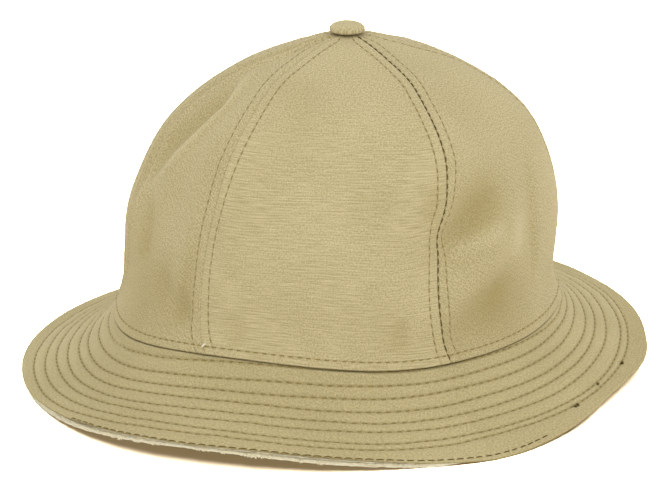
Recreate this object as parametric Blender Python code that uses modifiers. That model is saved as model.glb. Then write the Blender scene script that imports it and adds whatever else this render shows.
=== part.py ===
"""A soft cloche hat of six cotton panels with a stitched bell brim, standing on its rim.

Metres, +Z up. The origin is on the table under the middle of the hat, and the front of the hat faces -Y.
Angles run anticlockwise seen from above: 0 is the wearer's left (+X), 90 the back and 270 the front.
"""

import math

import bmesh
import bpy
import numpy as np

# Cloth
CLOTH = 0.0012              # folded and pressed cotton, one wall of the hat
PILE = 0.0026               # cream pile cloth under the brim
GAP = 0.0003                # clearance between pieces that touch
BRIM_TURN_IN = 0.005        # brim cloth's inner edge, turned up inside the crown
FACING_TURN_IN = 0.0025     # pile cloth's inner edge, turned up behind it
REST_PRESS = 0.0009         # how far the pile is pressed flat where the rim rests
REST_STRIP = 0.0024         # width of the strip at the rim that the table presses

# Crown
HEAD_HALF_WIDTH = 0.091     # outer cloth at the brim seam, side to side
HEAD_HALF_LENGTH = 0.0996   # outer cloth at the brim seam, front to back
CROWN_HEIGHT = 0.1183       # brim seam to the top of the cloth
SEAM_RISE_FRONT = 0.0057    # how far the brim seam is pushed up over the front curl
SEAM_RISE_BACK = 0.0040     # and over the back curl
PANEL_RIDGE = 0.0028        # how far the six seams stand out as soft ridges
CROWN_SHIFT_X = 0.0010      # head oval's middle, off the rim's middle
CROWN_SHIFT_Y = 0.0004

# Brim
BRIM_REACH_SIDE = 0.0345    # brim seam to rim at the sides, in plan
BRIM_REACH_END = 0.0403     # brim seam to rim at the front and back, in plan
BRIM_FALL = 0.0243          # brim seam down to the rim
BACK_CURL = 0.009           # rim lifted off the table at the back
FRONT_CURL = 0.008          # rim lifted off the table at the front left

# Button and its hidden rivet
BUTTON_RADIUS = 0.0075
BUTTON_HEIGHT = 0.0042
BUTTON_EDGE = 0.0009        # rounded lower edge of the button
BUTTON_FULLNESS = 0.87      # under 1 makes the dome fuller than an ellipse
POST_RADIUS = 0.0018
POST_ENTRY = 0.002          # length of the post inside the button
WASHER_RADIUS = 0.004
WASHER_THICKNESS = 0.0008

# Facets
PANEL_COLUMNS = 10          # across one panel; the brim has six times as many
PANEL_STEPS = 15            # up one panel
TURNS = 32                  # round the button and the rivet
DOME_STEPS = 7              # from the button's top to its edge
NUDGE = 0.0001              # small step by which slopes are measured

# Crown sections from the brim seam up: height as a share of CROWN_HEIGHT, radius as a share of the
# head oval's, and lean towards +X and +Y as shares of HEAD_HALF_WIDTH
CROWN_SECTIONS = (
    (0.000, 1.000, 0.000, 0.000),
    (0.060, 0.967, 0.005, 0.000),
    (0.130, 0.942, 0.015, 0.000),
    (0.220, 0.931, 0.033, 0.002),
    (0.340, 0.915, 0.055, 0.004),
    (0.520, 0.860, 0.088, 0.003),
    (0.710, 0.745, 0.113, 0.000),
    (0.885, 0.475, 0.093, 0.011),
    (0.960, 0.240, 0.068, 0.023),
    (1.000, 0.000, 0.045, 0.033),
)

# Brim sections from the seam out: share of the reach, and of the fall
BRIM_SECTIONS = (
    (0.00, 0.000),
    (0.10, 0.250),
    (0.20, 0.450),
    (0.32, 0.600),
    (0.50, 0.740),
    (0.75, 0.885),
    (1.00, 1.000),
)

# Rings of the brim's facets between the pressed strip and the seam, as shares of the way
BRIM_RINGS = (0.16, 0.32, 0.48, 0.62, 0.74, 0.86)

# Brim curls: middle and half spread in degrees, lift of the rim, rise of the seam above it
BRIM_CURLS = (
    (92.0, 76.0, BACK_CURL, SEAM_RISE_BACK),
    (308.0, 50.0, FRONT_CURL, SEAM_RISE_FRONT),
)

# Paths of the seams: height share, then how far each seam strays, in degrees, at 0, 60, ... 300 degrees
SEAM_ANGLES = (0.0, 60.0, 120.0, 180.0, 240.0, 300.0)
SEAM_PATHS = (
    (0.00, 1.0, 0.0, 0.0, 0.0, 0.0, 0.0),
    (0.10, -1.0, 0.5, 0.0, 0.5, 5.0, -5.0),
    (0.22, -2.5, 1.5, -1.0, 1.0, 8.0, -5.0),
    (0.40, -0.5, 2.0, -1.5, 2.0, 9.0, -5.0),
    (0.52, -1.0, 2.0, -1.0, 2.0, 9.0, -5.0),
    (0.72, 2.0, 1.0, 0.0, 1.0, 7.0, -6.0),
    (0.88, 6.5, 1.0, 0.0, 0.5, 5.0, -10.0),
    (1.00, 8.0, 1.0, 0.0, 0.0, 4.0, -11.0),
)

# Soft folds and hollows of the crown, each along a line: where it starts and ends (degrees and height
# share), its half width and its push outwards as shares of HEAD_HALF_WIDTH
FOLDS = (
    (0.0, 0.48, 0.0, 0.32, 0.30, -0.080),     # hollow across the left seam
    (4.0, 0.74, -4.0, 0.62, 0.30, 0.045),     # swell above it
    (289.0, 0.80, 253.0, 0.33, 0.12, 0.020),  # diagonal ridge on the front panel
    (293.0, 0.55, 293.0, 0.12, 0.12, -0.022), # hollow between that ridge and the seam
    (266.0, 0.80, 258.0, 0.58, 0.14, -0.012), # flat above the ridge
    (22.0, 0.60, 2.0, 0.46, 0.10, -0.020),    # diagonal crease on the back left panel
    (10.0, 0.32, 34.0, 0.42, 0.10, 0.016),    # ridge under the crease
    (20.0, 0.12, 46.0, 0.15, 0.12, -0.020),   # hollow over the brim
    (228.0, 0.55, 232.0, 0.25, 0.22, 0.020),  # bulge beside the right seam
    (163.0, 0.72, 163.0, 0.15, 0.90, 0.090),  # fullness of the back right side
)
FOLD_RISE = 1.2     # folds fade out towards the seam and at this part of the way up
FOLD_START = 0.02   # what is left of their fading at the seam

PANELS = (
    # node name, seam where it starts, seam where it ends
    ("back_left_panel", 0, 1),
    ("back_panel", 1, 2),
    ("back_right_panel", 2, 3),
    ("front_right_panel", 3, 4),
    ("front_panel", 4, 5),
    ("front_left_panel", 5, 0),
)

# Colours as linear red, green and blue
KHAKI = (0.42, 0.37, 0.19)
KHAKI_BRIM = (0.40, 0.35, 0.18)
CREAM = (0.80, 0.76, 0.64)
STEEL = (0.55, 0.55, 0.56)

LAP = CLOTH + GAP                        # the brim lies this far inside the crown's outer face
RIM_STACK = LAP + CLOTH + GAP + PILE     # outer line down to the pile's underside, square to the cloth
RIM_SLOPE = math.atan2((1.0 - BRIM_SECTIONS[-2][1]) * BRIM_FALL, (1.0 - BRIM_SECTIONS[-2][0]) * BRIM_REACH_END)
SEAM_HEIGHT = BRIM_FALL + RIM_STACK * math.cos(RIM_SLOPE) - REST_PRESS
HOLE_RADIUS = POST_RADIUS + GAP
TAU = 2.0 * math.pi


def bell(distance):
    """1 at the middle, falling smoothly to 0 at a distance of 1 either way."""
    return np.cos(np.clip(np.abs(distance), 0.0, 1.0) * math.pi / 2.0) ** 2


def turn_between(angle, middle):
    """Signed angle from a middle, the short way round."""
    return (angle - middle + math.pi) % TAU - math.pi


def smooth(places, values, at):
    """A smooth curve through values given at rising places."""
    places = np.asarray(places, float)
    values = np.asarray(values, float)
    steps = np.diff(places)
    shape = (-1,) + (1,) * (values.ndim - 1)
    slopes = np.diff(values, axis=0) / steps.reshape(shape)
    before = steps[:-1].reshape(shape)
    after = steps[1:].reshape(shape)
    inner = (slopes[:-1] * after + slopes[1:] * before) / (before + after)
    tangents = np.concatenate([slopes[:1], inner, slopes[-1:]])
    k = int(np.clip(np.searchsorted(places, at) - 1, 0, len(steps) - 1))
    s = (at - places[k]) / steps[k]
    return (
        values[k] * (1 + 2 * s) * (1 - s) ** 2
        + values[k + 1] * s * s * (3 - 2 * s)
        + tangents[k] * steps[k] * s * (1 - s) ** 2
        + tangents[k + 1] * steps[k] * s * s * (s - 1)
    )


def seam_height(angle):
    """Height of the brim seam round the head."""
    rise = sum(seam * bell(turn_between(angle, math.radians(middle)) / math.radians(spread))
               for middle, spread, lift, seam in BRIM_CURLS)
    return SEAM_HEIGHT + rise


def rim_height(angle):
    """Height of the rim, on the line that the crown's outer face would follow."""
    lift = sum(curl * bell(turn_between(angle, math.radians(middle)) / math.radians(spread))
               for middle, spread, curl, seam in BRIM_CURLS)
    return SEAM_HEIGHT - BRIM_FALL + lift


def fold_push(angle, height):
    """How far the folds push the crown's cloth outwards."""
    push = np.zeros_like(angle)
    for start, low, end, high, half_width, depth in FOLDS:
        along = np.array([math.radians(end - start) * HEAD_HALF_WIDTH, (high - low) * CROWN_HEIGHT])
        across = turn_between(angle, math.radians(start)) * HEAD_HALF_WIDTH
        up = (height - low) * CROWN_HEIGHT
        share = np.clip((across * along[0] + up * along[1]) / (along @ along), 0.0, 1.0)
        distance = np.hypot(across - share * along[0], up - share * along[1])
        push = push + depth * HEAD_HALF_WIDTH * bell(distance / (half_width * HEAD_HALF_WIDTH))
    return push


def crown_knot(angle, section):
    """Where one crown section stands at each angle."""
    height, radius, lean_x, lean_y = section
    edge = seam_height(angle)
    ridge = PANEL_RIDGE * math.sin(math.pi * height) * np.cos(len(SEAM_ANGLES) * angle)
    push = ridge + fold_push(angle, height) * math.sin(math.pi * min(1.0, FOLD_START + FOLD_RISE * height))
    half_x = HOLE_RADIUS + radius * (HEAD_HALF_WIDTH - HOLE_RADIUS) + push
    half_y = HOLE_RADIUS + radius * (HEAD_HALF_LENGTH - HOLE_RADIUS) + push
    return np.stack([
        half_x * np.cos(angle) + lean_x * HEAD_HALF_WIDTH + CROWN_SHIFT_X,
        half_y * np.sin(angle) + lean_y * HEAD_HALF_WIDTH + CROWN_SHIFT_Y,
        edge + (SEAM_HEIGHT + CROWN_HEIGHT - edge) * height,
    ], axis=-1)


def brim_knot(angle, section):
    """Where one brim section stands at each angle."""
    reach, fall = section
    edge = seam_height(angle)
    return np.stack([
        (HEAD_HALF_WIDTH + reach * BRIM_REACH_SIDE) * np.cos(angle) + (1.0 - reach) * CROWN_SHIFT_X,
        (HEAD_HALF_LENGTH + reach * BRIM_REACH_END) * np.sin(angle) + (1.0 - reach) * CROWN_SHIFT_Y,
        edge + (rim_height(angle) - edge) * fall,
    ], axis=-1)


def knot_places():
    """Nominal length from the rim to each section, brim first, in metres."""
    points = [(HEAD_HALF_WIDTH + reach * BRIM_REACH_SIDE, -fall * BRIM_FALL) for reach, fall in reversed(BRIM_SECTIONS)]
    points += [(radius * HEAD_HALF_WIDTH, height * CROWN_HEIGHT)
               for height, radius, lean_x, lean_y in CROWN_SECTIONS[1:]]
    steps = np.hypot(*np.diff(np.array(points), axis=0).T)
    return np.concatenate([[0.0], np.cumsum(steps)])


PLACES = knot_places()
SEAM_PLACE = PLACES[len(BRIM_SECTIONS) - 1]
TOP_PLACE = PLACES[-1]


def line_face(angle, place):
    """The hat's outer line: points at the angles, at one length up from the rim."""
    knots = [brim_knot(angle, section) for section in reversed(BRIM_SECTIONS)]
    knots += [crown_knot(angle, section) for section in CROWN_SECTIONS[1:]]
    return smooth(PLACES, np.array(knots), place)


def cloth_face(angle, place, depth):
    """Points at a depth under the outer line, square to it."""
    point = line_face(angle, place)
    around = line_face(angle + NUDGE, place) - line_face(angle - NUDGE, place)
    up = line_face(angle, min(place + NUDGE, TOP_PLACE)) - line_face(angle, max(place - NUDGE, 0.0))
    normal = np.cross(around, up)
    normal /= np.linalg.norm(normal, axis=-1, keepdims=True)
    return point - normal * depth


def seam_angle(seam, place):
    """Where a seam stands at one length up from the rim, in radians."""
    share = np.interp(place, PLACES[len(BRIM_SECTIONS) - 1:], [row[0] for row in CROWN_SECTIONS])
    stray = np.interp(share, [row[0] for row in SEAM_PATHS], [row[seam + 1] for row in SEAM_PATHS])
    return math.radians(SEAM_ANGLES[seam] + stray)


def panel_points(start, end):
    """Rows of points across one crown panel, half a gap clear of its seams."""
    rows = []
    for step in range(PANEL_STEPS + 1):
        place = SEAM_PLACE + (TOP_PLACE - SEAM_PLACE) * step / PANEL_STEPS
        left = seam_angle(start, place)
        right = seam_angle(end, place)
        if right < left:
            right += TAU
        corners = np.array([left, right])
        moved = line_face(corners + NUDGE, place) - line_face(corners - NUDGE, place)
        reach = np.linalg.norm(moved, axis=-1) / (2.0 * NUDGE)
        left += GAP / 2.0 / reach[0]
        right -= GAP / 2.0 / reach[1]
        rows.append(line_face(np.linspace(left, right, PANEL_COLUMNS + 1), place))
    return np.array(rows)


def brim_points(depth, places):
    """Rings of points round the brim at a depth under the outer line, from the rim inwards."""
    columns = PANEL_COLUMNS * len(SEAM_ANGLES)
    angles = np.linspace(0.0, TAU, columns + 1)
    angles[-1] = 0.0
    return np.array([cloth_face(angles, place, depth) for place in places])


def principled(name, colour, roughness, metallic=0.0):
    """A plain finish."""
    finish = bpy.data.materials.new(name)
    finish.use_nodes = True
    shader = finish.node_tree.nodes["Principled BSDF"]
    shader.inputs["Base Color"].default_value = (*colour, 1.0)
    shader.inputs["Roughness"].default_value = roughness
    shader.inputs["Metallic"].default_value = metallic
    return finish


def place_object(name, bm, finish, collection):
    """Turns a bmesh into a smooth-shaded object of the hat."""
    mesh = bpy.data.meshes.new(name)
    bm.to_mesh(mesh)
    bm.free()
    mesh.shade_smooth()
    mesh.materials.append(finish)
    piece = bpy.data.objects.new(name, mesh)
    collection.objects.link(piece)
    return piece


def sheet(points, closed):
    """An open cloth surface from a grid whose corners are moved to rows of points."""
    rows, columns = points.shape[0], points.shape[1]
    bm = bmesh.new()
    bmesh.ops.create_grid(bm, x_segments=columns - 1, y_segments=rows - 1, size=0.5)
    for vert in bm.verts:
        column = round((vert.co.x + 0.5) * (columns - 1))
        row = round((vert.co.y + 0.5) * (rows - 1))
        vert.co = points[row, column]
    if closed:
        bmesh.ops.remove_doubles(bm, verts=bm.verts, dist=1e-6)
    return bm


def wall(piece, thickness):
    """Gives a cloth surface its thickness, inwards."""
    solidify = piece.modifiers.new("cloth", "SOLIDIFY")
    solidify.thickness = thickness
    solidify.offset = -1.0
    solidify.use_even_offset = True


def brim_places(turn_in):
    """Lengths from the rim at which the brim's rings stand, the last one turned up inside the crown."""
    rings = [REST_STRIP + share * (SEAM_PLACE - REST_STRIP) for share in BRIM_RINGS]
    return [0.0, REST_STRIP] + rings + [SEAM_PLACE, SEAM_PLACE + turn_in]


def build_panels(collection):
    """The six crown panels."""
    for name, start, end in PANELS:
        bm = sheet(panel_points(start, end), closed=False)
        piece = place_object(name, bm, principled(name + "_cotton", KHAKI, 0.9), collection)
        wall(piece, CLOTH)


def build_brim(collection):
    """The brim's outer cloth, turned up inside the crown."""
    bm = sheet(brim_points(LAP, brim_places(BRIM_TURN_IN)), closed=True)
    piece = place_object("brim_top", bm, principled("brim_cotton", KHAKI_BRIM, 0.9), collection)
    wall(piece, CLOTH)


def build_facing(collection):
    """The pile cloth under the brim, pressed flat where the rim rests on the table."""
    bm = sheet(brim_points(LAP + CLOTH + GAP, brim_places(FACING_TURN_IN)), closed=True)
    piece = place_object("brim_facing", bm, principled("cream_pile", CREAM, 1.0), collection)
    wall(piece, PILE)
    evaluated = piece.evaluated_get(bpy.context.evaluated_depsgraph_get())
    pressed = bpy.data.meshes.new_from_object(evaluated)
    for vert in pressed.vertices:
        vert.co.z = max(vert.co.z, 0.0)
    piece.modifiers.clear()
    piece.data = pressed


def turned(name, profile, location, finish, collection):
    """A round piece from a profile that runs top to bottom on its outer side."""
    bm = bmesh.new()
    verts = [bm.verts.new((radius, 0.0, height)) for radius, height in profile]
    for upper, lower in zip(verts, verts[1:]):
        bm.edges.new((upper, lower))
    piece = place_object(name, bm, finish, collection)
    screw = piece.modifiers.new("turn", "SCREW")
    screw.steps = TURNS
    screw.render_steps = TURNS
    screw.use_merge_vertices = True
    screw.merge_threshold = 1e-5
    screw.use_normal_calculate = False
    piece.location = location
    return piece


def crown_top():
    """Middle of the hole in the top of the crown."""
    height, radius, lean_x, lean_y = CROWN_SECTIONS[-1]
    x = lean_x * HEAD_HALF_WIDTH + CROWN_SHIFT_X
    y = lean_y * HEAD_HALF_WIDTH + CROWN_SHIFT_Y
    return x, y, SEAM_HEIGHT + CROWN_HEIGHT


def button_profile():
    """Domed cap with a rounded edge and a blind hole for the post."""
    dome = [(0.0, BUTTON_HEIGHT)]
    for step in range(1, DOME_STEPS):
        turn = math.pi / 2.0 * step / DOME_STEPS
        dome.append((BUTTON_RADIUS * math.sin(turn) ** BUTTON_FULLNESS,
                     BUTTON_EDGE + (BUTTON_HEIGHT - BUTTON_EDGE) * math.cos(turn) ** BUTTON_FULLNESS))
    corner = BUTTON_EDGE * (1.0 - math.sqrt(0.5))
    edge = [(BUTTON_RADIUS, BUTTON_EDGE), (BUTTON_RADIUS - corner, corner), (BUTTON_RADIUS - BUTTON_EDGE, 0.0)]
    socket = [(HOLE_RADIUS, 0.0), (HOLE_RADIUS, POST_ENTRY), (0.0, POST_ENTRY)]
    return dome + edge + socket


def build_button(collection):
    """The covered button and the rivet that holds it through the hole in the crown."""
    x, y, top = crown_top()
    base = top + GAP
    turned("top_button", button_profile(), (x, y, base), principled("button_cotton", KHAKI, 0.9), collection)

    around = np.linspace(0.0, TAU, 2 * TURNS)
    places = np.linspace(SEAM_PLACE, TOP_PLACE, 4 * PANEL_STEPS)
    inner = np.array([cloth_face(around, place, CLOTH) for place in places])
    near = np.hypot(inner[..., 0] - x, inner[..., 1] - y) < WASHER_RADIUS + 2.0 * GAP
    washer_top = inner[..., 2][near].min() - GAP
    post_top = base + POST_ENTRY - GAP
    profile = [(0.0, post_top), (POST_RADIUS, post_top), (POST_RADIUS, washer_top), (WASHER_RADIUS, washer_top),
               (WASHER_RADIUS, washer_top - WASHER_THICKNESS), (0.0, washer_top - WASHER_THICKNESS)]
    turned("button_post", [(radius, height - top) for radius, height in profile], (x, y, top),
           principled("plated_steel", STEEL, 0.35, 1.0), collection)


def main():
    for old in list(bpy.data.objects):
        bpy.data.objects.remove(old, do_unlink=True)
    collection = bpy.data.collections.new("cloche_hat")
    bpy.context.scene.collection.children.link(collection)
    build_panels(collection)
    build_brim(collection)
    build_facing(collection)
    build_button(collection)


main()
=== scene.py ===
import math

import bmesh
import bpy
import numpy as np
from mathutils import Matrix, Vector, noise


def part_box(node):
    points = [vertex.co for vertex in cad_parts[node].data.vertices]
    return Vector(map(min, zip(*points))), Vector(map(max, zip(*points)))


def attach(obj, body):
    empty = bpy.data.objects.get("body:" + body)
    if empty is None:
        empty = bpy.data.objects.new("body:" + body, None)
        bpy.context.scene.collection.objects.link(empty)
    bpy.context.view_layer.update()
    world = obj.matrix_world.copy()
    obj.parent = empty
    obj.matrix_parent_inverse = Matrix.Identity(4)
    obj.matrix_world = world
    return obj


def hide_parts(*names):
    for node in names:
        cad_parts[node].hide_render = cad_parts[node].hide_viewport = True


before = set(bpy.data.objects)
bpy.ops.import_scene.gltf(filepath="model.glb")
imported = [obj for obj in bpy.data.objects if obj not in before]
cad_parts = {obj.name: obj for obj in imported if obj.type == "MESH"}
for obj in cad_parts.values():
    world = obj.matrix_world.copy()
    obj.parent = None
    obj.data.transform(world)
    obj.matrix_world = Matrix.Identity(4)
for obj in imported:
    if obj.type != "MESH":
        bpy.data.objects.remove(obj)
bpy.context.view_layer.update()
print("frame loaded:", sorted(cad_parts))

tau = 2.0 * math.pi
mm = 0.001


# the hat's form: the same outer line as the solids, from the rim up to the button

hatForm = {
    "cloth": 1.2 * mm, "pile": 2.6 * mm, "gap": 0.3 * mm,
    "brimTurnIn": 5.0 * mm, "facingTurnIn": 2.5 * mm, "restPress": 0.9 * mm,
    "headHalfWidth": 91.0 * mm, "headHalfLength": 99.6 * mm, "crownHeight": 118.3 * mm,
    "panelRidge": 2.8 * mm, "crownShiftX": 1.0 * mm, "crownShiftY": 0.4 * mm,
    "reachSide": 34.5 * mm, "reachEnd": 40.3 * mm, "brimFall": 24.3 * mm,
    "postRadius": 1.8 * mm, "buttonRadius": 7.5 * mm, "buttonHeight": 4.2 * mm,
    "foldRise": 1.2, "foldStart": 0.02,
}

# height share, radius share, lean to +X and +Y as shares of the head's half width
crownSections = (
    (0.000, 1.000, 0.000, 0.000), (0.060, 0.967, 0.005, 0.000), (0.130, 0.942, 0.015, 0.000),
    (0.220, 0.931, 0.033, 0.002), (0.340, 0.915, 0.055, 0.004), (0.520, 0.860, 0.088, 0.003),
    (0.710, 0.745, 0.113, 0.000), (0.885, 0.475, 0.093, 0.011), (0.960, 0.240, 0.068, 0.023),
    (1.000, 0.000, 0.045, 0.033),
)

# reach share, fall share
brimSections = ((0.00, 0.000), (0.10, 0.250), (0.20, 0.450), (0.32, 0.600), (0.50, 0.740), (0.75, 0.885),
                (1.00, 1.000))

# middle and half spread in degrees, lift of the rim, rise of the seam
brimCurls = ((92.0, 76.0, 9.0 * mm, 4.0 * mm), (308.0, 50.0, 8.0 * mm, 5.7 * mm))

seamAngles = (0.0, 60.0, 120.0, 180.0, 240.0, 300.0)

# height share, then how far each seam strays, in degrees
seamPaths = (
    (0.00, 0.6, 0.0, 0.0, 0.0, 0.0, -0.2),
    (0.06, -0.3, 0.3, 0.0, 0.3, 3.3, -3.0),
    (0.13, -1.0, 0.7, -0.2, 0.6, 6.0, -4.6),
    (0.22, -1.4, 1.5, -1.0, 1.0, 8.0, -5.4),
    (0.36, -1.0, 1.9, -1.4, 1.8, 8.9, -6.0),
    (0.47, -1.4, 2.0, -1.2, 2.0, 9.1, -6.0),
    (0.55, 0.7, 1.8, -0.9, 1.8, 8.9, -6.0),
    (0.64, 1.3, 2.6, -0.4, 1.5, 8.0, -6.0),
    (0.76, 2.4, 5.0, 0.0, 0.9, 6.5, -6.4),
    (0.86, 5.0, 8.0, 0.0, 0.6, 5.3, -8.6),
    (0.95, 8.5, 9.5, 0.0, 0.2, 4.4, -12.5),
    (1.00, 10.0, 10.0, 0.0, 0.0, 4.0, -14.0),
)

# start and end (degrees, height share), half width and push as shares of the head's half width
folds = (
    (0.0, 0.48, 0.0, 0.32, 0.30, -0.080),
    (4.0, 0.74, -4.0, 0.62, 0.30, 0.045),
    (289.0, 0.80, 253.0, 0.33, 0.12, 0.020),
    (293.0, 0.55, 293.0, 0.12, 0.12, -0.022),
    (266.0, 0.80, 258.0, 0.58, 0.14, -0.012),
    (22.0, 0.60, 2.0, 0.46, 0.10, -0.020),
    (10.0, 0.32, 34.0, 0.42, 0.10, 0.016),
    (20.0, 0.12, 46.0, 0.15, 0.12, -0.020),
    (228.0, 0.55, 232.0, 0.25, 0.22, 0.020),
    (163.0, 0.72, 163.0, 0.15, 0.90, 0.090),
)

lap = hatForm["cloth"] + hatForm["gap"]                     # brim cloth under the outer line
facingDepth = lap + hatForm["cloth"] + hatForm["gap"]       # top of the pile cloth under the outer line
rimStack = facingDepth + hatForm["pile"]
rimSlope = math.atan2((1.0 - brimSections[-2][1]) * hatForm["brimFall"],
                      (1.0 - brimSections[-2][0]) * hatForm["reachEnd"])
seamLevel = hatForm["brimFall"] + rimStack * math.cos(rimSlope) - hatForm["restPress"]
holeRadius = hatForm["postRadius"] + hatForm["gap"]


def bell(distance):
    return np.cos(np.clip(np.abs(distance), 0.0, 1.0) * math.pi / 2.0) ** 2


def easeIn(share):
    share = np.clip(share, 0.0, 1.0)
    return share * share * (3.0 - 2.0 * share)


def turnBetween(angle, middle):
    return (angle - middle + math.pi) % tau - math.pi


def bellAt(angle, middle, spread):
    # a bell round the hat, with its middle and half spread in degrees
    return bell(turnBetween(angle, math.radians(middle)) / math.radians(spread))


def curlSum(angle, column):
    return sum(curl[column] * bellAt(angle, curl[0], curl[1]) for curl in brimCurls)


def foldPush(angle, height):
    width = hatForm["headHalfWidth"]
    push = np.zeros_like(angle)
    for start, low, end, high, halfWidth, depth in folds:
        alongX = math.radians(end - start) * width
        alongY = (high - low) * hatForm["crownHeight"]
        across = turnBetween(angle, math.radians(start)) * width
        up = (height - low) * hatForm["crownHeight"]
        share = np.clip((across * alongX + up * alongY) / (alongX ** 2 + alongY ** 2), 0.0, 1.0)
        distance = np.hypot(across - share * alongX, up - share * alongY)
        push = push + depth * width * bell(distance / (halfWidth * width))
    return push


# how far the seam is drawn in at the hat's front right, and how the pull dies away up the crown and out on the brim
seamPull = {"middle": 238.0, "spread": 42.0, "depth": 2.4 * mm}
pullUpCrown = ((0.0, 1.0), (0.06, 1.0), (0.13, 0.8), (0.22, 0.45), (0.34, 0.0))
pullOutBrim = ((0.0, 1.0), (0.10, 0.8), (0.20, 0.6), (0.32, 0.35), (0.50, 0.1), (0.75, 0.0))


def pulledIn(angle, share, table):
    fade = np.interp(share, *zip(*table))
    return -seamPull["depth"] * fade * bellAt(angle, seamPull["middle"], seamPull["spread"])


def crownKnot(angle, section):
    height, radius, leanX, leanY = section
    edge = seamLevel + curlSum(angle, 3)
    ridge = hatForm["panelRidge"] * math.sin(math.pi * height) * np.cos(len(seamAngles) * angle)
    fade = math.sin(math.pi * min(1.0, hatForm["foldStart"] + hatForm["foldRise"] * height))
    push = ridge + foldPush(angle, height) * fade + pulledIn(angle, height, pullUpCrown)
    halfX = holeRadius + radius * (hatForm["headHalfWidth"] - holeRadius) + push
    halfY = holeRadius + radius * (hatForm["headHalfLength"] - holeRadius) + push
    return np.stack([
        halfX * np.cos(angle) + leanX * hatForm["headHalfWidth"] + hatForm["crownShiftX"],
        halfY * np.sin(angle) + leanY * hatForm["headHalfWidth"] + hatForm["crownShiftY"],
        edge + (seamLevel + hatForm["crownHeight"] - edge) * height,
    ], axis=-1)


def brimKnot(angle, section):
    reach, fall = section
    edge = seamLevel + curlSum(angle, 3)
    rim = seamLevel - hatForm["brimFall"] + curlSum(angle, 2)
    pull = pulledIn(angle, reach, pullOutBrim)
    return np.stack([
        (hatForm["headHalfWidth"] + reach * hatForm["reachSide"] + pull) * np.cos(angle)
        + (1.0 - reach) * hatForm["crownShiftX"],
        (hatForm["headHalfLength"] + reach * hatForm["reachEnd"] + pull) * np.sin(angle)
        + (1.0 - reach) * hatForm["crownShiftY"],
        edge + (rim - edge) * fall,
    ], axis=-1)


def lengthsAlong(points, axis=0):
    # distances along lines of points, from the first of each
    steps = np.linalg.norm(np.diff(points, axis=axis), axis=-1)
    return np.insert(np.cumsum(steps, axis=axis), 0, 0.0, axis=axis)


def knotPlaces():
    points = [(hatForm["headHalfWidth"] + reach * hatForm["reachSide"], -fall * hatForm["brimFall"])
              for reach, fall in reversed(brimSections)]
    points += [(row[1] * hatForm["headHalfWidth"], row[0] * hatForm["crownHeight"]) for row in crownSections[1:]]
    steps = np.hypot(*np.diff(np.array(points), axis=0).T)
    return np.concatenate([[0.0], np.cumsum(steps)])


places = knotPlaces()
crownPlaces = places[len(brimSections) - 1:]
crownShares = [row[0] for row in crownSections]
seamPlace = crownPlaces[0]
topPlace = places[-1]


def softSlopes(values, steps):
    # the slope of a soft line at each of its knots
    slopes = np.diff(values, axis=0) / steps
    inner = (slopes[:-1] * steps[1:] + slopes[1:] * steps[:-1]) / (steps[:-1] + steps[1:])
    return np.concatenate([slopes[:1], inner, slopes[-1:]])


def softBlend(ends, slopes, step, s):
    # a place between two knots, at the share s of the step
    return (ends[0] * (1 + 2 * s) * (1 - s) ** 2 + ends[1] * s * s * (3 - 2 * s)
            + slopes[0] * step * s * (1 - s) ** 2 + slopes[1] * step * s * s * (s - 1))


def lineFace(angle, place):
    # points of the outer line, at arrays of angles and of nominal lengths from the rim
    angle, place = np.broadcast_arrays(np.asarray(angle, float), np.asarray(place, float))
    shape = angle.shape
    place = place.ravel()
    turns, every = np.unique(angle.ravel(), return_inverse=True)
    knots = np.array([brimKnot(turns, section) for section in reversed(brimSections)]
                     + [crownKnot(turns, section) for section in crownSections[1:]])
    slopes = softSlopes(knots, np.diff(places)[:, None, None])
    k = np.clip(np.searchsorted(places, place) - 1, 0, len(places) - 2)
    step = (places[k + 1] - places[k])[:, None]
    point = softBlend((knots[k, every], knots[k + 1, every]), (slopes[k, every], slopes[k + 1, every]),
                      step, (place - places[k])[:, None] / step)
    return point.reshape(shape + (3,))


def faceAndNormal(angle, place):
    nudge = 0.1 * mm
    point = lineFace(angle, place)
    around = lineFace(angle + nudge, place) - lineFace(angle - nudge, place)
    up = lineFace(angle, np.minimum(place + nudge, topPlace)) - lineFace(angle, place - nudge)
    normal = np.cross(around, up)
    normal /= np.linalg.norm(normal, axis=-1, keepdims=True)
    return point, normal


def smoothThrough(at, knots, values):
    knots, values = np.asarray(knots, float), np.asarray(values, float)
    steps = np.diff(knots)
    slopes = softSlopes(values, steps)
    k = np.clip(np.searchsorted(knots, at) - 1, 0, len(knots) - 2)
    return softBlend((values[k], values[k + 1]), (slopes[k], slopes[k + 1]), steps[k], (at - knots[k]) / steps[k])


def seamAngle(seam, place):
    share = np.interp(place, crownPlaces, crownShares)
    stray = smoothThrough(share, [row[0] for row in seamPaths], [row[seam + 1] for row in seamPaths])
    return np.radians(seamAngles[seam] + stray)


def drift(points, size, seed):
    # smooth noise from -1 to 1, with features of about one size in metres
    flat = np.asarray(points, float).reshape(-1, 3) / size + seed * 17.3
    values = [noise.noise(Vector(point)) for point in flat]
    return np.array(values).reshape(np.asarray(points).shape[:-1])


# tools for cloth and thread

def putPiece(name, bm, finish, node=None):
    mesh = bpy.data.meshes.new(name)
    bm.to_mesh(mesh)
    bm.free()
    mesh.shade_smooth()
    mesh.materials.append(finish)
    piece = bpy.data.objects.new(name, mesh)
    bpy.context.scene.collection.objects.link(piece)
    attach(piece, "root")
    if node:
        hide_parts(node)
    print(name, len(mesh.polygons), "faces")
    return piece


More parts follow.
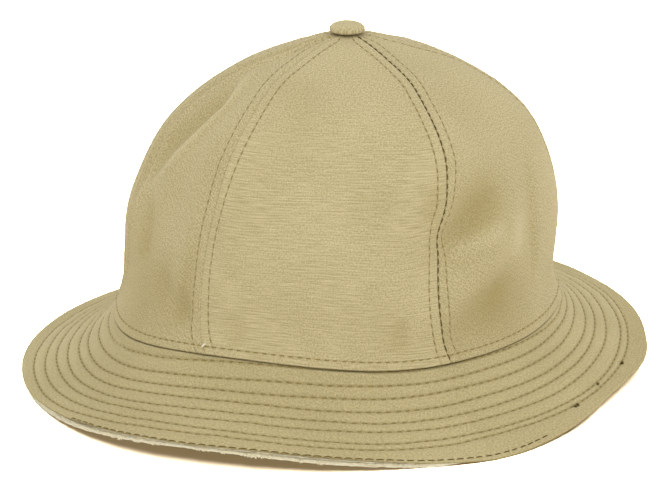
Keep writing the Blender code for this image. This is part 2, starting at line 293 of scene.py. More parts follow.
def clothGrid(points, across, up, relief, shade, closed):
    # a cloth surface from a grid moved to rows of points, with its flat place as UVs in metres
    rows, columns = points.shape[:2]
    bm = bmesh.new()
    cloth = bm.loops.layers.uv.new("cloth")
    bmesh.ops.create_grid(bm, x_segments=columns - 1, y_segments=rows - 1, size=0.5, calc_uvs=True)
    reliefLayer = bm.verts.layers.float.new("relief")
    shadeLayer = bm.verts.layers.float.new("shade")
    for vert in bm.verts:
        column = round((vert.co.x + 0.5) * (columns - 1))
        row = round((vert.co.y + 0.5) * (rows - 1))
        vert.co = points[row, column]
        vert[reliefLayer] = relief[row, column] / mm
        vert[shadeLayer] = shade[row, column]
    for face in bm.faces:
        for loop in face.loops:
            column = round(loop[cloth].uv.x * (columns - 1))
            row = round(loop[cloth].uv.y * (rows - 1))
            loop[cloth].uv = (across[row, column], up[row, column])
    if closed:
        bmesh.ops.remove_doubles(bm, verts=bm.verts, dist=1e-6)
    return bm


def wall(piece, thickness):
    solidify = piece.modifiers.new("cloth", "SOLIDIFY")
    solidify.thickness = thickness
    solidify.offset = -1.0


def threadShape(sides, cuts, tip=1.0):
    # a short length of thread, along X from 0 to 1, with unit radius, and its corners
    bm = bmesh.new()
    bmesh.ops.create_cone(bm, cap_ends=True, segments=sides, radius1=1.0, radius2=tip, depth=1.0)
    long = [edge for edge in bm.edges if abs(edge.verts[0].co.z - edge.verts[1].co.z) > 0.5]
    bmesh.ops.subdivide_edges(bm, edges=long, cuts=cuts, use_grid_fill=True)
    for vert in bm.verts:
        vert.co = (vert.co.z + 0.5, vert.co.x, vert.co.y)
    mesh = bpy.data.meshes.new("threadShape")
    bm.to_mesh(mesh)
    bm.free()
    corners = np.zeros(len(mesh.vertices) * 3)
    mesh.vertices.foreach_get("co", corners)
    return mesh, corners.reshape(-1, 3)


def joinShapes(name, mesh, spots, finish):
    # one piece of many copies of a shape, with their corners moved to the spots
    bm = bmesh.new()
    for _ in range(len(spots) // len(mesh.vertices)):
        bm.from_mesh(mesh)
    for vert, spot in zip(bm.verts, spots):
        vert.co = spot
    putPiece(name, bm, finish)


def sewRow(corners, path, normals, thread, seed):
    # the corners of one row of stitches: each bows up from the cloth and dips in at both ends
    lengths = lengthsAlong(path)
    count = max(1, round(lengths[-1] / thread["pitch"]))
    pitch = lengths[-1] / count
    rand = np.random.default_rng(seed)
    starts = (np.arange(count) + 0.5 * (1.0 - thread["fill"]) + rand.uniform(-0.04, 0.04, count)) * pitch
    spans = pitch * thread["fill"] * rand.uniform(0.92, 1.06, count)
    at = starts[:, None] + spans[:, None] * corners[None, :, 0]
    centre, normal, tangent = (np.stack([np.interp(at, lengths, line[:, k]) for k in range(3)], axis=-1)
                               for line in (path, normals, np.gradient(path, lengths, axis=0)))
    side = np.cross(normal, tangent)
    side /= np.linalg.norm(side, axis=-1, keepdims=True)
    bow = 1.0 - np.abs(2.0 * corners[:, 0] - 1.0) ** 3
    slant = (corners[:, 0] - 0.5) * thread["slant"]
    radius = thread["radius"] * (0.75 + 0.25 * bow)
    sink = thread["radius"] * (thread["stand"] * bow - 1.1 * (1.0 - bow))
    spots = (centre + side * (corners[:, 1] * radius + slant)[None, :, None]
             + normal * (corners[:, 2] * radius * 0.8 + sink)[None, :, None])
    return spots.reshape(-1, 3)


def sewPiece(name, shape, rows, thread, finish):
    # joins many rows of stitches in one piece
    mesh, corners = shape
    spots = [sewRow(corners, path, normals, thread, seed) for seed, (path, normals) in enumerate(rows)]
    joinShapes(name, mesh, np.concatenate(spots), finish)


# materials

waveScale = tau / 20.0      # a wave texture of this scale has one band in each unit


def linear(hexColour):
    channels = [int(hexColour[i:i + 2], 16) / 255.0 for i in (1, 3, 5)]
    return tuple(c / 12.92 if c <= 0.04045 else ((c + 0.055) / 1.055) ** 2.4 for c in channels) + (1.0,)


def addNode(tree, kind, values=None, links=None, out=0, **settings):
    # adds a node, sets and links its inputs, and gives back one of its outputs
    node = tree.nodes.new("ShaderNode" + kind)
    for name, value in settings.items():
        setattr(node, name, value)
    for socket, value in (values or {}).items():
        node.inputs[socket].default_value = value
    for socket, source in (links or {}).items():
        tree.links.new(source, node.inputs[socket])
    return node.outputs[out]


def newFinish(name, sockets):
    finish = bpy.data.materials.new(name)
    finish.use_nodes = True
    shader = finish.node_tree.nodes["Principled BSDF"]
    for socket, value in sockets.items():
        shader.inputs[socket].default_value = value
    return finish, finish.node_tree, shader


def coverFinish(tree, shader, colour, height, strength, depth):
    # gives a finish its colour, and its fine relief as bump
    tree.links.new(colour, shader.inputs["Base Color"])
    bump = addNode(tree, "Bump", {"Strength": strength, "Distance": depth}, {"Height": height})
    tree.links.new(bump, shader.inputs["Normal"])


cottonLook = {
    # the groove tint is painted shade in the sewn grooves, the fold tint painted shade in creases and shaded places,
    # and the lightest tint painted light on ridges and lit places
    "light": "#ccbe93", "dark": "#a89a6f", "groove": "#8a7b4c", "fold": "#95834a", "paintedLight": "#d6c9a2",
    "ribSpacing": 1.25,                     # mm; slubby weft yarns, drawn about twice as coarse as real ones
    "slubLength": 8.0, "slubWidth": 0.55,   # mm; the uneven places along them
    "grain": 0.7,                           # mm; the uneven face of the weave, as coarse as two threads to show
    "threadSpacing": 0.9,                   # mm; the real 0.45 mm threads are drawn twice as coarse
    "patch": 26.0,                          # mm across the places where the ribs stand out or sink in the grain
    "mottle": 38.0,                         # mm across the soft clouds that washing leaves
    "tones": (0.41, 0.59),                  # the share of the surface noise that runs from dark to light
    "pulledFlat": (0.088, 0.118),           # m above the hem; the ribs fade between them, where the cloth is taut
}

# attribute, tint, its value where the tint starts and where it is full, and its greatest share; all three tints are
# painted: painted shade in the grooves and creases, painted light on ridges and lit places
cottonTints = (("relief", "groove", -0.02, -0.5, 0.65), ("shade", "fold", 0.0, -1.0, 0.8),
               ("shade", "paintedLight", 0.0, 1.0, 0.8))


def wovenCotton(name, look, ribs, turn):
    # slub-woven khaki cotton, washed: matt, with long thin ribs along the weft and a fine uneven grain
    finish, tree, shader = newFinish(name, {"Roughness": 0.93, "Sheen Weight": 0.09, "Sheen Roughness": 0.5,
                                            "Specular IOR Level": 0.15})
    flat = addNode(tree, "UVMap", uv_map="cloth")
    inMm = {"Vector": addNode(tree, "Mapping", {"Scale": (1000.0, 1000.0, 1000.0), "Rotation": (0, 0, turn)},
                              {"Vector": flat})}

    # ribs: wavy rows, broken up by slubs
    ribPlace = addNode(tree, "Mapping", {"Scale": (0.15, 1.0, 1.0)}, inMm)
    rows = addNode(tree, "TexWave", {"Scale": waveScale / look["ribSpacing"], "Distortion": 4.5, "Detail": 2.0,
                                     "Detail Scale": 2.2}, {"Vector": ribPlace}, "Fac", bands_direction="Y")
    rowTone = addNode(tree, "MapRange", {"To Min": 0.40, "To Max": 0.60}, {"Value": rows})
    slubPlace = addNode(tree, "Mapping", {"Scale": (1.0 / look["slubLength"], 1.0 / look["slubWidth"], 1.0)}, inMm)
    slub = addNode(tree, "TexNoise", {"Scale": 1.0, "Detail": 1.0, "Roughness": 0.5}, {"Vector": slubPlace})
    rib = addNode(tree, "Mix", {"Factor": 0.45}, {"A": rowTone, "B": slub})

    # where the ribs show in the grain
    grain = addNode(tree, "TexNoise", {"Scale": 1.0 / look["grain"], "Detail": 2.0, "Roughness": 0.65}, inMm)
    patches = addNode(tree, "TexNoise", {"Scale": 1.0 / look["patch"], "Detail": 1.0}, inMm)
    ribShare = addNode(tree, "MapRange", {"From Min": 0.35, "From Max": 0.65, "To Min": 0.6 * ribs,
                                          "To Max": min(1.0, 1.25 * ribs)}, {"Value": patches})
    upwards = addNode(tree, "SeparateXYZ", links={"Vector": flat}, out="Y")
    slack = addNode(tree, "MapRange", {"From Min": look["pulledFlat"][0], "From Max": look["pulledFlat"][1],
                                       "To Min": 1.0, "To Max": 0.25}, {"Value": upwards})
    ribsShown = addNode(tree, "Math", links={0: ribShare, 1: slack}, operation="MULTIPLY")
    face = addNode(tree, "Mix", links={"Factor": ribsShown, "A": grain, "B": rib})

    # the weave, faint under both, and the clouds of washing
    weft, warp = (addNode(tree, "TexWave", {"Scale": waveScale / look["threadSpacing"], "Distortion": 1.2}, inMm,
                          "Fac", bands_direction=axis) for axis in "YX")
    weave = addNode(tree, "Mix", {"Factor": 0.5}, {"A": weft, "B": warp})
    surface = addNode(tree, "Mix", {"Factor": 0.05}, {"A": face, "B": weave})
    tone = addNode(tree, "MapRange", {"From Min": look["tones"][0], "From Max": look["tones"][1]},
                   {"Value": surface})
    clouds = addNode(tree, "TexNoise", {"Scale": 1.0 / look["mottle"], "Detail": 2.0}, inMm)
    cloudTone = addNode(tree, "MapRange", {"From Min": 0.35, "From Max": 0.65, "To Min": -0.08, "To Max": 0.08},
                        {"Value": clouds})
    bothTones = addNode(tree, "Math", links={0: tone, 1: cloudTone})
    colour = addNode(tree, "Mix", {"A": linear(look["dark"]), "B": linear(look["light"])}, {"Factor": bothTones},
                     "Result", data_type="RGBA")

    # painted shade in the grooves and creases, and painted light on ridges and lit places
    for attribute, tint, starts, full, most in cottonTints:
        drawn = addNode(tree, "Attribute", out="Fac", attribute_name=attribute, attribute_type="GEOMETRY")
        share = addNode(tree, "MapRange", {"From Min": starts, "From Max": full, "To Max": most}, {"Value": drawn})
        colour = addNode(tree, "Mix", {"B": linear(look[tint])}, {"Factor": share, "A": colour}, "Result",
                         data_type="RGBA")
    coverFinish(tree, shader, colour, surface, 0.8, 0.5 * mm)
    return finish


def loopedPile(name):
    # cream cotton pile, knitted with cut loops: soft, very matt, with small tufts
    finish, tree, shader = newFinish(name, {"Roughness": 1.0, "Sheen Weight": 0.12, "Sheen Roughness": 0.6,
                                            "Specular IOR Level": 0.1})
    place = {"Vector": addNode(tree, "TexCoord", out="Object")}
    tufts = addNode(tree, "TexVoronoi", {"Scale": 1.0 / (1.3 * mm)}, place, "Distance")
    fluff = addNode(tree, "TexNoise", {"Scale": 1.0 / (0.6 * mm), "Detail": 3.0, "Roughness": 0.7}, place)
    height = addNode(tree, "Math", links={0: fluff, 1: tufts}, operation="SUBTRACT")
    tone = addNode(tree, "MapRange", {"From Min": -0.5, "From Max": 0.6}, {"Value": height})
    colour = addNode(tree, "Mix", {"A": linear("#efe3bd"), "B": linear("#fff7dc")}, {"Factor": tone}, "Result",
                     data_type="RGBA")
    coverFinish(tree, shader, colour, height, 0.8, 0.5 * mm)
    return finish


def spunThread(name, light, dark):
    # spun sewing thread, twisted from two yarns: a slight gloss and fine slanting strands
    finish, tree, shader = newFinish(name, {"Roughness": 0.75, "Specular IOR Level": 0.2})
    place = addNode(tree, "TexCoord", out="Object")
    strands = addNode(tree, "TexNoise", {"Scale": 1.0 / (0.8 * mm), "Detail": 2.0}, {"Vector": place})
    colour = addNode(tree, "Mix", {"A": linear(dark), "B": linear(light)}, {"Factor": strands}, "Result",
                     data_type="RGBA")
    coverFinish(tree, shader, colour, strands, 0.3, 0.1 * mm)
    return finish


def platedSteel(name):
    # nickel-plated steel, pressed: grey with a soft gloss and light scuffs
    finish, tree, shader = newFinish(name, {"Metallic": 1.0, "Base Color": linear("#a9a9ab")})
    place = addNode(tree, "TexCoord", out="Object")
    scuffs = addNode(tree, "TexNoise", {"Scale": 1.0 / (1.0 * mm), "Detail": 4.0}, {"Vector": place})
    gloss = addNode(tree, "MapRange", {"To Min": 0.25, "To Max": 0.45}, {"Value": scuffs})
    tree.links.new(gloss, shader.inputs["Roughness"])
    return finish


brimLook = dict(cottonLook, light="#c7b98c", dark="#a4966a", groove="#82743f", grain=0.8, tones=(0.35, 0.65))
biasLook = dict(cottonLook, light="#cabc91", dark="#a3956a")
buttonLook = dict(cottonLook, light="#cfc197", dark="#ab9d72", grain=0.6)
crownCotton = wovenCotton("slub_cotton_straight", cottonLook, ribs=0.58, turn=0.0)
crownCottonBias = wovenCotton("slub_cotton_bias", biasLook, ribs=0.22, turn=math.radians(32))
buttonCotton = wovenCotton("slub_cotton_button", buttonLook, ribs=0.1, turn=0.0)
brimCotton = wovenCotton("slub_cotton_brim", brimLook, ribs=0.15, turn=math.radians(20))
creamPile = loopedPile("looped_cotton_pile")
# the threads are a little darker olive than the cloth, and drawn darker still as painted shade of the grooves they sink
# into
oliveThread = spunThread("spun_thread_olive", "#988753", "#7c6c3e")
seamCotton = spunThread("spun_thread_olive_painted_dark", "#6f5f33", "#4b3f1f")
undyedCotton = spunThread("spun_thread_undyed", "#f3ecd8", "#d9cfb2")
creamThread = spunThread("spun_thread_cream", "#d8cdb0", "#a99d7c")
print("materials made")


# crown panels

panelDetail = {
    "rowStep": 1.5 * mm, "middleColumns": 50,
    "edgeShare": 0.44,      # the most of a panel's width that the columns beside a seam take up
    # mm from the seam and above the hem
    "edgeColumns": (-0.3, 0.0, 0.12, 0.3, 0.55, 0.9, 1.5, 2.3, 3.2, 3.9, 4.25, 4.5, 4.75, 5.1, 5.9, 7.3),
    "edgeRows": (0.0, 0.12, 0.3, 0.6, 1.2, 2.0, 2.8, 3.15, 3.4, 3.65, 4.0, 4.8, 6.0),
    "seamRadius": 0.45 * mm, "underlapSlope": 1.5,
    "allowance": 0.34 * mm, "allowanceEdge": 1.6 * mm,      # the double cloth of the turnings, and where it thins out
    "seamRow": 4.5 * mm, "baseRow": 3.4 * mm, "rowWidth": 0.55 * mm, "rowDepth": 0.30 * mm,
    "hemRadius": 0.5 * mm, "hemStart": 0.04 * mm, "hemRise": 0.30 * mm, "hemEdge": 1.4 * mm,
    "pucker": 0.17 * mm, "puckerSize": 5.0 * mm,
    "wave": 0.20 * mm, "waveSize": 34.0 * mm, "ripple": 0.4, "rippleSize": 12.0 * mm,   # ripples as a share of waves
    "bySeam": (5.0 * mm, 7.0 * mm, 1.5 * mm), "byHem": (3.5 * mm, 8.0 * mm),            # where the cloth puckers
    "stillHem": 10.0 * mm, "stillSeam": 6.0 * mm, "creaseHem": 6.0 * mm, "turningStart": 0.9 * mm,
    "topDip": 1.0 * mm, "dipPlace": 25.0 * mm, "dipWidth": 19.0 * mm,                   # a hollow round the button
    "deepFold": 7.0 * mm, "shadeSpread": 1.7,   # depth where a crease's painted shade is darkest, and how far the painted shade spreads
    "flatLength": 0.170, "cutShare": 0.62,      # a panel's cut is a long leaf: this share of its width times length
}

# the front side of this seam is pressed open: push, place and half width in mm of the crest beside its row and of
# the valley, and how the crest rises from the hem and from the seam
openSeam = {"seam": 4, "waves": ((0.9, 7.5, 2.4), (-1.0, 3.0, 3.2)), "fromHem": 22.0 * mm, "fromSeam": 1.2 * mm}

panels = (
    # node, seam where it starts, seam where it ends, finish, greatest width of the flat cut in mm
    ("back_left_panel", 0, 1, crownCottonBias, 113), ("back_panel", 1, 2, crownCottonBias, 95),
    ("back_right_panel", 2, 3, crownCotton, 116), ("front_right_panel", 3, 4, crownCottonBias, 121),
    ("front_panel", 4, 5, crownCottonBias, 84), ("front_left_panel", 5, 0, crownCotton, 121),
)

# depth share of each seam's ditch, and whether its middle stitches show
seamLook = ((1.1, True), (0.8, False), (0.8, False), (0.8, False), (0.9, False), (0.4, False))

# soft creases: the line each follows, in degrees and height shares, half width and push in mm, and whether the line
# starts at full depth because it runs out of a seam
creases = (
    (((257.5, .915), (265, .895), (270.5, .854), (273.5, .806), (272, .76), (269.5, .715), (266.5, .657),
      (262.5, .584), (257, .512), (252, .45)), 3.8, 1.7, False),
    (((254, .93), (266, .845), (268, .80), (265, .745), (261, .70), (258, .64), (254, .57), (250, .50)),
     9.0, -2.2, False),
    (((262, .52), (264.5, .366), (266, .22)), 7.0, -1.7, False),
    (((272, .30), (284.5, .173), (293, .06)), 10.0, -2.1, False),
    (((290, .45), (289, .18), (291, .04)), 5.5, -1.5, False),
    (((306, .95), (311, .83), (312, .68)), 9.0, -0.9, False),
    (((355.5, .64), (355, .46)), 6.0, -1.3, False),
    (((304, .16), (309, .02)), 5.0, -1.2, False),
    (((349, .18), (346.5, .03)), 5.0, -1.3, False),
    (((3, .43), (11, .512), (25, .60)), 10.0, -2.5, True),
    (((5.5, .38), (11, .405), (24, .435)), 6.5, 1.1, True),
    (((4, .09), (11, .155), (27, .27)), 11.0, -2.4, True),
    (((41, .68), (37.5, .46), (36.5, .31), (36.5, .05)), 5.5, -1.3, False),
    (((30, .46), (24, .28)), 9.0, 0.9, False),
    (((346, .70), (342, .584), (336, .53), (328, .44)), 8.0, -0.6, False),
)

# round patches of painted shade (below zero) and painted light (above zero): angle, height share, half width in mm, and
# share
paintedPatches = (
    (270.0, 0.10, 36.0, -0.30), (262.0, 0.28, 36.0, -0.18), (21.0, 0.14, 30.0, -0.54), (14.0, 0.49, 30.0, -0.34),
    (318.0, 0.06, 24.0, -0.06), (345.0, 0.10, 26.0, -0.08), (320.0, 0.45, 34.0, 0.05), (48.0, 0.55, 26.0, 0.08),
)

creaseFades = (0.3, 0.35)       # shares of a crease's length over which it begins and ends
ridgeLight = 2.5                # in the painted shade, a ridge's painted highlight counts for more than its push and isn't spread


def placeOfShare(share):
    return np.interp(share, crownShares, crownPlaces)


def creaseLine(path):
    turns, shares = np.radians([row[0] for row in path]), np.array([row[1] for row in path])
    at = np.linspace(0.0, len(path) - 1.0, 14 * len(path))
    knots = np.arange(len(path))
    return lineFace(np.interp(at, knots, turns), placeOfShare(np.interp(at, knots, shares)))


creaseLines = [(creaseLine(path), halfWidth * mm, push * mm, fromSeam) for path, halfWidth, push, fromSeam in creases]


def creaseRelief(point, spread):
    # how far the creases push each point in or out; spread widens them, and a spread over one gives the painted shade
    # and painted highlight, where ridges count more
    flat = point.reshape(-1, 3)
    relief = np.zeros(len(flat))
    for line, halfWidth, push, fromSeam in creaseLines:
        near = np.linalg.norm(flat - line.mean(axis=0), axis=1) < spread * halfWidth + np.ptp(line, axis=0).max()
        if near.any():
            away = np.linalg.norm(flat[near][:, None] - line[None], axis=-1)
            along = away.argmin(axis=1) / (len(line) - 1.0)
            begins = 1.0 if fromSeam else easeIn(along / creaseFades[0])
            wide, strong = (1.0, ridgeLight if spread > 1.0 else 1.0) if push > 0.0 else (spread, 1.0)
            relief[near] += (strong * push * bell(away.min(axis=1) / (wide * halfWidth)) * begins
                             * easeIn((1.0 - along) / creaseFades[1]))
    return relief.reshape(point.shape[:-1])


def paintedPatchesShade(point):
    # painted shade and painted light in soft round patches
    shade = np.zeros(point.shape[:-1])
    for angle, share, halfWidth, strength in paintedPatches:
        middle = lineFace(math.radians(angle), placeOfShare(share))
        shade += strength * bell(np.linalg.norm(point - middle, axis=-1) / (halfWidth * mm))
    return shade


def rolledEdge(distance, radius):
    share = np.clip(distance / radius, 0.0, 1.0)
    return -radius * (1.0 - np.sqrt(np.maximum(1.0 - (1.0 - share) ** 2, 0.0)))


def panelRows(detail):
    edge = seamPlace + np.array(detail["edgeRows"]) * mm
    rest = np.linspace(edge[-1], topPlace, round((topPlace - edge[-1]) / detail["rowStep"]) + 1)[1:]
    return np.concatenate([edge, rest])


# the seam whose sewn row is drawn in at a crease: by what share, at what height share, and over what half width
drawnRow = {"seam": 0, "share": 0.33, "height": 0.45, "spread": 32.0 * mm}


def sideScales(width, place, start, detail):
    # the sewn rows draw in towards their seam near the button, and at the crease beside the wearer's left seam
    scale = min(1.0, detail["edgeShare"] * width / (detail["edgeColumns"][-1] * mm))
    squeeze = 1.0
    if start == drawnRow["seam"]:
        away = (place - placeOfShare(drawnRow["height"])) / drawnRow["spread"]
        squeeze = 1.0 - drawnRow["share"] * float(bell(away))
    return scale * squeeze, scale


def panelColumns(width, scales, detail):
    edge = np.array(detail["edgeColumns"]) * mm
    middle = np.linspace(edge[-1] * scales[0], width - edge[-1] * scales[1], detail["middleColumns"])[1:-1]
    return np.concatenate([edge * scales[0], middle, width - edge[::-1] * scales[1]])


def panelSurface(start, end, rowPlaces, columns, detail):
    # a panel's points as sewn; columns(width, scales) gives lengths from its first seam, row by row
    left = seamAngle(start, rowPlaces)
    right = seamAngle(end, rowPlaces)
    right = np.where(right < left, right + tau, right)
    sweep = left[:, None] + (right - left)[:, None] * np.linspace(0.0, 1.0, 49)
    lengths = lengthsAlong(lineFace(sweep, rowPlaces[:, None]), axis=1)
    width = lengths[:, -1:]
    scales = np.array([sideScales(w, place, start, detail) for w, place in zip(width[:, 0], rowPlaces)])
    away = np.array([columns(w, scale) for w, scale in zip(width[:, 0], scales)])
    held = np.clip(away, 0.0, width)
    angle = np.array([np.interp(row, length, turn) for row, length, turn in zip(held, lengths, sweep)])
    angle = angle + (away - held) * (right - left)[:, None] / width
    place = rowPlaces[:, None] + 0.0 * away
    point, normal = faceAndNormal(angle, place)

    # the rolled ditch of each seam, the double cloth of its turnings and the grooves of the sewn rows
    first = away < 0.5 * width
    scale = np.where(first, scales[:, :1], scales[:, 1:])
    nearest = np.where(first, away, width - away) / scale
    height = place - seamPlace
    depth = np.where(first, seamLook[start][0], seamLook[end][0])
    fade = np.minimum(scale * 1.2, 1.0)
    turnings = detail["allowance"] * (1.0 - easeIn((nearest - detail["seamRow"]) / detail["allowanceEdge"]))
    band = detail["hemRise"] * (1.0 - easeIn((height - detail["baseRow"]) / detail["hemEdge"]))
    groove = rolledEdge(nearest, detail["seamRadius"] * depth) * fade
    groove = groove + detail["underlapSlope"] * np.minimum(nearest, 0.0)    # the edge goes under the next panel's
    groove = groove - detail["rowDepth"] * fade * bell((nearest - detail["seamRow"]) / detail["rowWidth"])
    groove = groove - detail["rowDepth"] * bell((height - detail["baseRow"]) / detail["rowWidth"])
    groove = groove + rolledEdge(height + detail["hemStart"], detail["hemRadius"])

    # the softer shape: puckers along the rows, slack in the cloth, and the creases
    seed = start + 1
    middle, spread, still = detail["bySeam"]
    bySeam = bell((nearest - middle) / spread) * easeIn(nearest / still) * scale
    byHem = bell((height - detail["byHem"][0]) / detail["byHem"][1])
    soft = detail["pucker"] * bySeam * drift(point * np.array([0.35, 0.35, 1.0]), detail["puckerSize"], seed)
    soft += detail["pucker"] * byHem * drift(point * np.array([1.0, 1.0, 0.3]), detail["puckerSize"], seed + 3)
    soft += detail["wave"] * easeIn(height / detail["stillHem"]) * drift(point, detail["waveSize"], 5)
    soft += (detail["ripple"] * detail["wave"] * easeIn(nearest / detail["stillSeam"])
             * drift(point, detail["rippleSize"], seed + 9))
    pressed = creaseRelief(point, 1.0) * easeIn(height / detail["creaseHem"])
    # painted shade in the creases and painted highlight on the ridges, with the round patches of painted shade and
    # light
    shade = paintedPatchesShade(point) + creaseRelief(point, detail["shadeSpread"]) / detail["deepFold"]
    soft -= detail["topDip"] * bell((topPlace - place - detail["dipPlace"]) / detail["dipWidth"])
    if start == openSeam["seam"]:
        crest = sum(push * mm * bell((nearest - at * mm) / (wide * mm)) for push, at, wide in openSeam["waves"])
        crest = crest * fade * easeIn(height / openSeam["fromHem"]) * easeIn(nearest / openSeam["fromSeam"])
        crest = np.where(first, crest, 0.0)
        pressed = pressed + crest
        # painted highlight along the crest and painted shade in the valley beside it
        shade = shade + crest / detail["deepFold"]
    soft += pressed
    relief = groove + soft + turnings * easeIn(nearest / detail["turningStart"]) * fade + band
    return {"point": point + normal * relief[..., None], "normal": normal, "groove": groove,
            "across": away - 0.5 * width, "up": height, "shade": shade}


def makePanel(name, start, end, finish, flatWidth, detail):
    cloth = panelSurface(start, end, panelRows(detail), lambda width, scales: panelColumns(width, scales, detail),
                         detail)
    bm = clothGrid(cloth["point"], cloth["across"], cloth["up"], cloth["groove"], cloth["shade"], closed=False)
    piece = putPiece(name + "_cloth", bm, finish, node=name)
    wall(piece, hatForm["cloth"])


def crownPath(start, end, distance, fromFirst, low, high, detail):
    # a sewn row beside a seam, on the cloth as it lies, from one height to another
    def spot(width, scales):
        return np.array([distance * scales[0] if fromFirst else width - distance * scales[1]])

    cloth = panelSurface(start, end, np.arange(low, high, 0.8 * mm), spot, detail)
    return cloth["point"][:, 0], cloth["normal"][:, 0]


def hemPath(start, end, detail):
    cloth = panelSurface(start, end, np.array([seamPlace + detail["baseRow"]]),
                         lambda width, scales: np.linspace(0.0, width, 90), detail)
    shallow = np.maximum(cloth["groove"], -0.3 * mm) - cloth["groove"]
    return (cloth["point"] + cloth["normal"] * shallow[..., None])[0], cloth["normal"][0]


for panel in panels:
    makePanel(*panel, panelDetail)
print("crown made")


# brim

brimDetail = {
    # mm: rings from the rim, beside each sewn row and outside the seam with the crown
    "rim": (0.0, 0.15, 0.35, 0.7, 1.3, 2.2, 3.2, 4.2, 5.2), "besideRow": (-0.8, -0.4, 0.0, 0.4, 0.8),
    "besideSeam": (5.0, 4.2, 3.4, 2.6, 1.9, 1.3, 0.9, 0.65, 0.45, 0.3, 0.15, 0.0),
    "columns": 520, "between": 2, "innerRings": 6,
    "rimRadius": 0.6 * mm, "rowDepth": 0.39 * mm, "rowWidth": 1.0 * mm, "swell": 0.26 * mm,
    "sewnFrom": 5.0 * mm, "seamEdge": 1.0 * mm, "border": (5.5 * mm, 2.5 * mm),
    "pucker": 0.26 * mm, "puckerSize": 4.5 * mm, "ripple": 0.7, "rippleSize": 9.0 * mm,
    "wave": 0.3 * mm, "waveSize": 30.0 * mm,
    "lipRise": 0.95 * mm, "lip": (0.1, 0.5, 1.2, 3.2),      # mm from the seam: start and width of its rise and its fall
    "flat": (0.265, 0.295), "area": 0.0385,
}
clothRadius = 110.0 * mm        # radius that turns angles into lengths along the brim's cloth
noiseRadius = 105.0 * mm        # the same for the puckers

# distance of each sewn row from the rim in mm, how far it strays, and the angle where it strays outwards
brimRows = (
    (7.5, 0.70, 165.0), (11.8, 0.90, 55.0), (17.6, 0.30, 120.0), (22.9, 0.35, 300.0), (28.0, 0.30, 60.0),
    (33.2, 0.35, 220.0), (38.8, 0.30, 340.0), (44.0, -1.3, 270.0),
)

# the quick wander of the rows: mm, waves round the hat, and how far each row's are turned
rowWander = ((0.16, 5.0, 1.7), (0.10, 13.0, 2.9))


def rowDistance(row, angle):
    # distance of a sewn row from the rim, with its wander
    distance, stray, towards = brimRows[row]
    slow = stray * np.cos(angle - math.radians(towards))
    quick = sum(size * np.sin(waves * angle + turned * row) for size, waves, turned in rowWander)
    return (distance - slow + quick) * mm


def brimTable(angles):
    # lengths along the brim's cloth at places on the outer line, from outside the rim to past the margin that is
    # turned up inside, one column for each angle
    samples = np.linspace(-6.0 * mm, seamPlace + hatForm["brimTurnIn"] * 1.3, 120)
    point, normal = faceAndNormal(angles[None, :], samples[:, None])
    lengths = lengthsAlong(point - normal * lap)
    lengths -= np.array([np.interp(0.0, samples, column) for column in lengths.T])
    seam = np.array([np.interp(seamPlace, samples, column) for column in lengths.T])
    return {"samples": samples, "lengths": lengths, "seam": seam}


def placeAt(table, distance):
    # places on the outer line for distances from the rim, one column for each angle of the table
    return np.stack([np.interp(wanted, column, table["samples"])
                     for wanted, column in zip(distance.T, table["lengths"].T)], axis=1)


def brimRings(angles, reach, seam, turnIn, detail):
    # distances from the rim of the grid's rings, closer together beside each sewn row
    besideRow = detail["besideRow"]
    rings = [distance * mm - reach * (1.0 - distance / 6.0) for distance in detail["rim"]]
    for row in range(len(brimRows) - 1):
        centre = rowDistance(row, angles)
        if row:
            before = rowDistance(row - 1, angles) + besideRow[-1] * mm
            for k in range(1, detail["between"] + 1):
                rings.append(before + (centre + besideRow[0] * mm - before) * k / (detail["between"] + 1))
        rings += [centre + beside * mm for beside in besideRow]
    last = rings[-1]
    besideSeam = detail["besideSeam"]
    share = np.minimum(1.0, 0.9 * (seam - last) / (besideSeam[0] * mm))
    rings += [last + (seam - share * besideSeam[0] * mm - last) * k / 5.0 for k in (1, 2, 3, 4)]
    rings += [seam - share * beside * mm for beside in besideSeam]
    rings += [seam + turnIn * k / detail["innerRings"] for k in range(1, detail["innerRings"] + 1)]
    return np.array(rings)


# middle and half spread in degrees of the places where the plain border bends, and its rise at the rim
rimBends = ((52.0, 50.0, 2.2 * mm), (213.0, 38.0, 1.0 * mm), (350.0, 36.0, -0.5 * mm), (104.0, 17.0, 2.0 * mm))
bendWidth = 7.6 * mm            # the border that bends, from the rim inwards

# angle, then how much wider the border's cloth and the pile under it are cut there, in mm
rimReaches = (
    (0, 4.1, 1.4), (5, 4.2, 0.4), (11, 3.2, -2.0), (20, 1.1, -3.0), (29, -1.7, -4.0), (38, -1.4, -4.0),
    (47, 1.0, -3.0), (60, 0.0, -3.0), (150, 0.0, -3.0), (222, 0.0, -3.0), (232, -0.5, -2.2), (241, -1.2, -2.0),
    (250, -2.2, -2.8), (260, -3.0, -3.4), (270, -3.8, -3.8), (280, -3.4, -2.8), (290, -2.4, -1.6), (300, -1.5, -1.0),
    (310, -1.4, -1.4), (320, -2.3, -1.6), (330, -2.5, -1.7), (340, -2.0, -1.7), (350, 0.8, -0.6), (360, 4.1, 1.4),
)


def rimReach(angle, column=1):
    turns = [row[0] for row in rimReaches]
    return smoothThrough(np.degrees(angle) % 360.0, turns, [row[column] for row in rimReaches]) * mm


def rimBend(angle, distance):
    rise = sum(height * bellAt(angle, middle, spread) for middle, spread, height in rimBends)
    return rise * np.maximum(1.0 - distance / bendWidth, 0.0) ** 1.5


